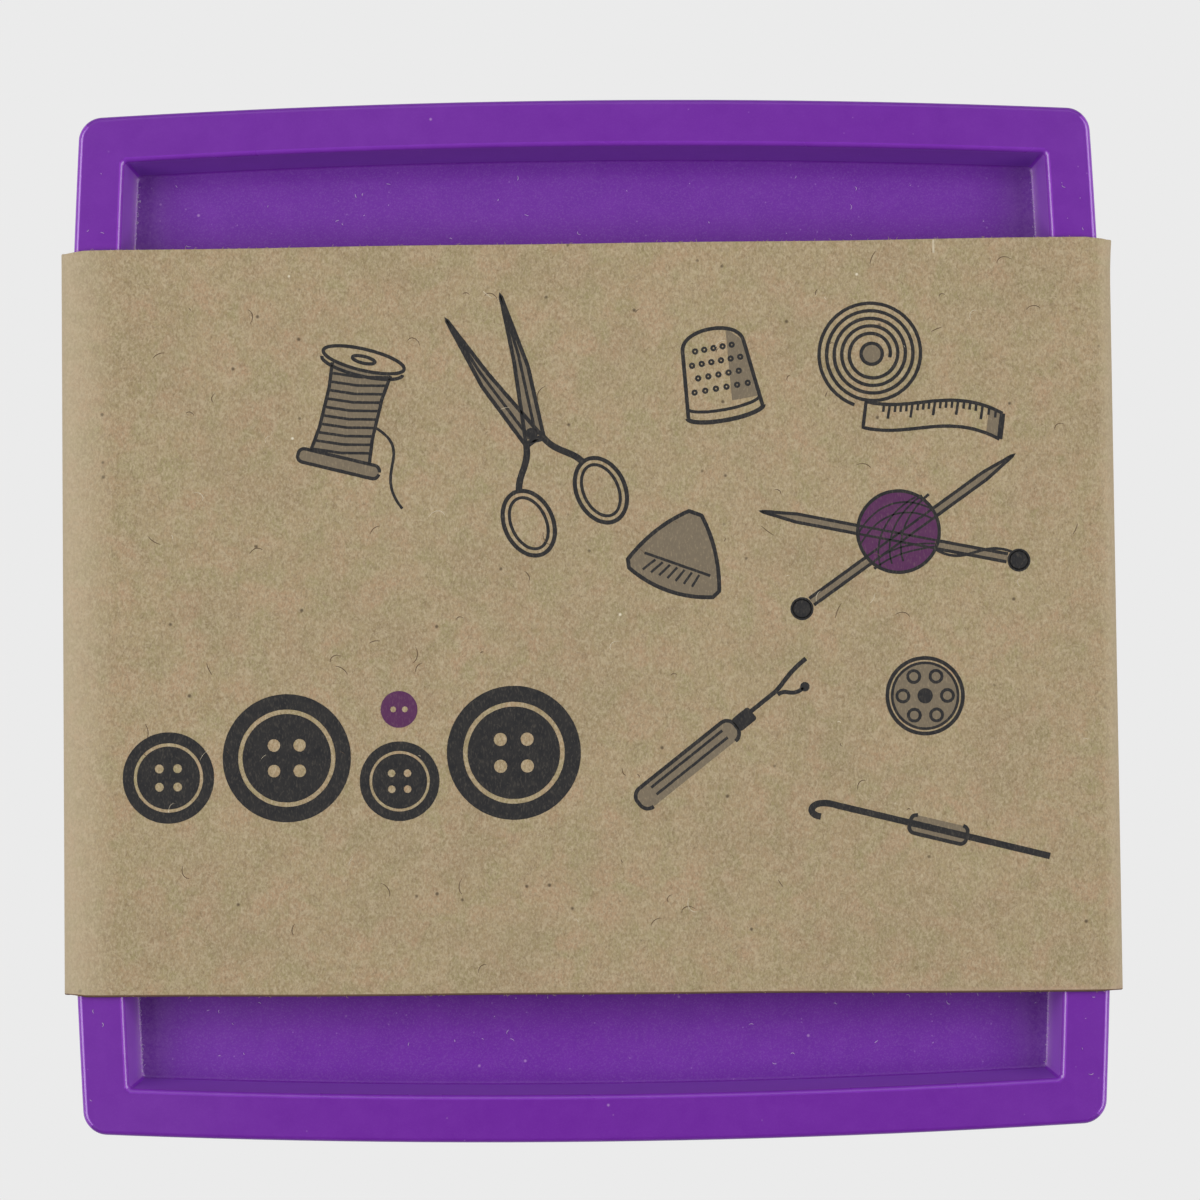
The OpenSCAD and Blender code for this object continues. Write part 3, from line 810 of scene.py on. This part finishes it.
CHARCOAL, CHARCOAL_THIN = (0.019, 0.019, 0.021, 1), (0.115, 0.100, 0.080, 1)
PLUM, PLUM_THIN = (0.095, 0.024, 0.090, 1), (0.190, 0.100, 0.140, 1)
TINT, TINT_THIN = (0.180, 0.145, 0.100, 1), (0.330, 0.260, 0.165, 1)
charcoal_ink = ink("charcoal_ink", CHARCOAL, CHARCOAL_THIN, 0.55)
tint_ink = ink("tint_ink", TINT, TINT_THIN, 0.8)
inks = {"tint": ("printed_tint", tint_ink, 1),
        "tint_over": ("printed_tint_over", tint_ink, 2),
        "plum": ("printed_plum", ink("plum_ink", PLUM, PLUM_THIN, 0.5), 3),
        "fill": ("printed_fill", charcoal_ink, 4),
        "line": ("printed_line", charcoal_ink, 4)}
for kind, (name, material, layer) in inks.items():
    drawing = bpy.data.curves.new(name, "CURVE")
    drawing.dimensions = "2D" if kind != "line" else "3D"
    drawing.fill_mode = "BOTH" if kind != "line" else "FULL"
    if kind == "line":
        drawing.bevel_depth, drawing.bevel_resolution, drawing.use_fill_caps = INK_LINE / 2, 1, True
    else:
        drawing.extrude = INK_RISE / 2
    for motif, x, y, lean in printed:
        to_place = Matrix.Translation((x, y, 0)) @ Matrix.Rotation(math.radians(lean), 4, "Z")
        for path in [(path, width) for drawn, path, width in motif if drawn == kind]:
            points = stepped([(to_place @ Vector((*p, 0))).to_2d() for p in path[0]], INK_STEP)
            shut = (points[0] - points[-1]).length < TINY or kind != "line"
            if (points[0] - points[-1]).length < TINY:
                points.pop()
            stroke = drawing.splines.new("POLY")
            stroke.points.add(len(points) - 1)
            stroke.use_cyclic_u = shut
            for point, spot in zip(stroke.points, points):
                point.co, point.radius = (spot.x, spot.y, 0, 1), path[1] or 1
    print_piece = made_mesh(name, drawing)
    for axis in ("X", "Y"):
        rough = print_piece.modifiers.new("rough_edge_" + axis.lower(), "DISPLACE")
        rough.texture = bpy.data.textures.new(name + "_" + axis.lower(), "CLOUDS")
        rough.texture.noise_scale = INK_ROUGH_SIZE * (1 if axis == "X" else 1.3)
        rough.direction, rough.strength = axis, INK_ROUGH
        bpy.ops.object.modifier_apply(modifier=rough.name)
    open_merged()
    if kind == "line":
        bpy.ops.transform.resize(value=(1, 1, INK_RISE / INK_LINE), center_override=(0, 0, 0))
    bpy.ops.mesh.normals_make_consistent(inside=False)
    bpy.ops.transform.translate(value=(0, 0, band_high.z + layer * INK_RISE / 4))
    paint(print_piece, material)
    finish_piece(print_piece, "sleeve", "kraft_card")

# Lint and card dust lie where the band has rubbed: along the foot of the recess walls, beside the
# cut edges of the card, and here and there on the rim. The cut edges shed short pulp hairs, and
# fibres of the pulp and one small nick show in the card's face.
LINT_R = 0.022
LINT_LIFT = 0.02
FIBRE_TAPER = 0.7, 1.0, 1.2, 1.1, 0.9, 0.5
FIBRE_CURL = 1.6
WALL_LINT, EDGE_LINT, EDGE_HAIRS, FACE_FIBRES = 75, 34, 120, 90
OPEN_END = 37.0, 47.0
WALL_SCATTER = 0.16
BACK_LINT_Y, FRONT_LINT_Y = 39.2, -39.1
RIM_SHARE, RIM_STRIP = 0.15, (49.6, 52.0)
FLOOR_LINT_REACH, RIM_LINT_REACH = 7.5, 10.0
FLOOR_HALF, CARD_HALF = 47, 53.0
WALL_BIT_L, EDGE_BIT_L = (0.06, 0.3), (0.08, 0.5)
HAIR_L, HAIR_DOWN, HAIR_LIFT = (0.1, 0.42), (0.06, 0.34), (-0.05, 0.12)
HAIR_ROOT, HAIR_FAN = 0.05, 0.8
FACE_X, FACE_Y = (-47, 52), (-36, 37)
FACE_L, FACE_FAN = (0.3, 1.7), 0.9
PALE_SHARE = 0.3
NICK_X, NICK_L, NICK_IN, NICK_LINES = 36.0, 1.4, 0.1, 3
lint_places = random.Random(11)
fibre_parts = len(FIBRE_TAPER) - 1


def fibre(where, length, way, lift):
    """Points of one short curled fibre that starts on a surface and lies on it or rises from it."""
    curl = lint_places.uniform(-FIBRE_CURL, FIBRE_CURL)
    spots = []
    for i in range(fibre_parts + 1):
        t = i / fibre_parts
        angle = way + curl * t
        spots.append(where + Vector((math.cos(angle) * length * t,
                                     math.sin(angle) * length * t, lift * t)))
    return spots


lint = {"purple_lint": [], "card_hairs": [], "pale_fibres": [], "dark_fibres": []}
for side in (-1, 1):
    for end in (-1, 1):
        for _ in range(WALL_LINT):
            y = end * lint_places.uniform(*OPEN_END)
            wall_x = wall_foot - SIDE_BOW * (y / RIM_HALF) ** 2
            x = side * (wall_x - abs(lint_places.gauss(0, WALL_SCATTER)))
            lint["purple_lint"].append(fibre(Vector((x, y, floor_z + 3 * LINT_R)),
                                             lint_places.uniform(*WALL_BIT_L),
                                             lint_places.uniform(0, math.tau), LINT_LIFT))
for end, edge in ((1, BACK_LINT_Y), (-1, FRONT_LINT_Y)):
    for _ in range(EDGE_LINT):
        on_rim = lint_places.random() < RIM_SHARE
        x = (lint_places.choice((-1, 1)) * lint_places.uniform(*RIM_STRIP) if on_rim
             else lint_places.uniform(-FLOOR_HALF, FLOOR_HALF))
        y = edge + end * lint_places.uniform(0.0, RIM_LINT_REACH if on_rim else FLOOR_LINT_REACH)
        z = rim_z if on_rim else floor_z
        lint["purple_lint"].append(fibre(Vector((x, y, z + LINT_R)),
                                         lint_places.uniform(*EDGE_BIT_L),
                                         lint_places.uniform(0, math.tau), LINT_LIFT))
for side in (-1, 1):
    for _ in range(EDGE_HAIRS):
        x = lint_places.uniform(-CARD_HALF, CARD_HALF)
        y = cut_line(x, side) - side * HAIR_ROOT
        way = side * math.pi / 2 + lint_places.gauss(0, HAIR_FAN)
        root = Vector((x, y, band_high.z - lint_places.uniform(*HAIR_DOWN)))
        lint["card_hairs"].append(fibre(root, lint_places.uniform(*HAIR_L), way,
                                        lint_places.uniform(*HAIR_LIFT)))
for _ in range(FACE_FIBRES):
    x, y = lint_places.uniform(*FACE_X), lint_places.uniform(*FACE_Y)
    kind = "pale_fibres" if lint_places.random() < PALE_SHARE else "dark_fibres"
    lint[kind].append(fibre(Vector((x, y, band_high.z)), lint_places.uniform(*FACE_L),
                            lint_places.gauss(math.pi / 2, FACE_FAN), 0.0))
nick_y = cut_line(NICK_X, 1) - NICK_IN
for i in range(NICK_LINES):
    x = NICK_X + i * LINT_R * 3
    lint["pale_fibres"].append([Vector((x, nick_y - NICK_L * t / fibre_parts, band_high.z))
                                for t in range(fibre_parts + 1)])


def dusty_fibre(name, colour, paler):
    material, tree, shader, place = node_material(name)
    tree.links.new(blend(tree, noise(tree, place, 1400, 2), colour, paler),
                   shader.inputs["Base Color"])
    shader.inputs["Roughness"].default_value = 0.9
    return material


LINT_PURPLE, LINT_PALE = (0.42, 0.30, 0.52, 1), (0.66, 0.58, 0.70, 1)
purple_dust = dusty_fibre("lint", LINT_PURPLE, LINT_PALE)
pulp_hair = dusty_fibre("pulp_hair", KRAFT_TAN, KRAFT_PINK)
pale_pulp = dusty_fibre("pale_pulp", KRAFT_PALE, SPECK_PALE)
dark_pulp = dusty_fibre("dark_pulp", FIBRE_DARK, SPECK_DARK)
for name, width, body, slot, material in (
        ("purple_lint", 1.2, "dish", "purple_plastic", purple_dust),
        ("card_hairs", 0.8, "sleeve", "kraft_card", pulp_hair),
        ("pale_fibres", 2.0, "sleeve", "kraft_card", pale_pulp),
        ("dark_fibres", 1.8, "sleeve", "kraft_card", dark_pulp)):
    hairs = bpy.data.curves.new(name, "CURVE")
    hairs.dimensions = "3D"
    hairs.bevel_depth, hairs.bevel_resolution, hairs.use_fill_caps = width * LINT_R, 0, True
    for spots in lint[name]:
        strand = hairs.splines.new("POLY")
        strand.points.add(len(spots) - 1)
        for point, spot, thick in zip(strand.points, spots, FIBRE_TAPER):
            point.co, point.radius = (*spot, 1), thick
    piece = made_mesh(name, hairs)
    open_merged()
    bpy.ops.mesh.normals_make_consistent(inside=False)
    paint(piece, material)
    finish_piece(piece, body, slot)

# The parts under the dish keep their CAD shapes. The cover is moulded like the tray, the ring
# magnet is pressed and ground ferrite, and its back plate and the screws are zinc-plated steel.
# The feet are black rubber, and a strip of dried glue holds the flap of the band.


def plated_steel(name, scratch_way):
    material, tree, shader, place = node_material(name)
    scratches = noise(tree, place, 2600, 3, scratch_way, 14)
    colour = blend(tree, noise(tree, place, 160, 3), (0.60, 0.59, 0.56, 1), (0.50, 0.51, 0.53, 1))
    tree.links.new(colour, shader.inputs["Base Color"])
    tree.links.new(spread(tree, scratches, 0.35, 0.7, 0.22, 0.42), shader.inputs["Roughness"])
    bumped(tree, shader, scratches, 0.2, 0.01)
    shader.inputs["Metallic"].default_value = 1.0
    return material


def pressed_ferrite(name):
    material, tree, shader, place = node_material(name)
    grains = noise(tree, place, 3000, 4)
    colour = blend(tree, grains, (0.040, 0.040, 0.043, 1), (0.085, 0.084, 0.086, 1))
    colour = blend(tree, specks(tree, place, 2.2, 0.25, 0.2, 0.7), colour, (0.020, 0.020, 0.022, 1))
    tree.links.new(colour, shader.inputs["Base Color"])
    tree.links.new(spread(tree, grains, 0.3, 0.7, 0.45, 0.65), shader.inputs["Roughness"])
    bumped(tree, shader, grains, 0.4, 0.03)
    return material


def foot_rubber(name):
    material, tree, shader, place = node_material(name)
    grain = noise(tree, place, 4200, 3)
    bloom = spread(tree, noise(tree, place, 420, 3), 0.5, 0.8, 0, 0.5)
    tree.links.new(blend(tree, bloom, (0.022, 0.022, 0.024, 1), (0.070, 0.068, 0.066, 1)),
                   shader.inputs["Base Color"])
    tree.links.new(spread(tree, grain, 0.3, 0.7, 0.72, 0.90), shader.inputs["Roughness"])
    bumped(tree, shader, grain, 0.5, 0.03)
    return material


def dried_glue(name):
    material, tree, shader, place = node_material(name)
    ripples = noise(tree, place, 700, 2)
    tree.links.new(blend(tree, ripples, (0.72, 0.66, 0.50, 1), (0.56, 0.48, 0.33, 1)),
                   shader.inputs["Base Color"])
    tree.links.new(spread(tree, ripples, 0.3, 0.7, 0.25, 0.45), shader.inputs["Roughness"])
    bumped(tree, shader, ripples, 0.5, 0.05)
    return material


corner_names = [end + "_" + side for end in ("front", "back") for side in ("left", "right")]
steel, rubber = plated_steel("screw_steel", 90), foot_rubber("foot_rubber")
hidden = {"base_cover": satin_plastic("purple_cover", RIM_PURPLES, 0.6, 0.46, 0.6),
          "magnet": pressed_ferrite("ferrite"), "back_plate": plated_steel("plate_steel", 0),
          "glue_line": dried_glue("glue")}
hidden.update({"screw_" + corner: steel for corner in corner_names})
hidden.update({"foot_" + corner: rubber for corner in corner_names})
for node, material in hidden.items():
    paint(frame["nodes"][node], material)
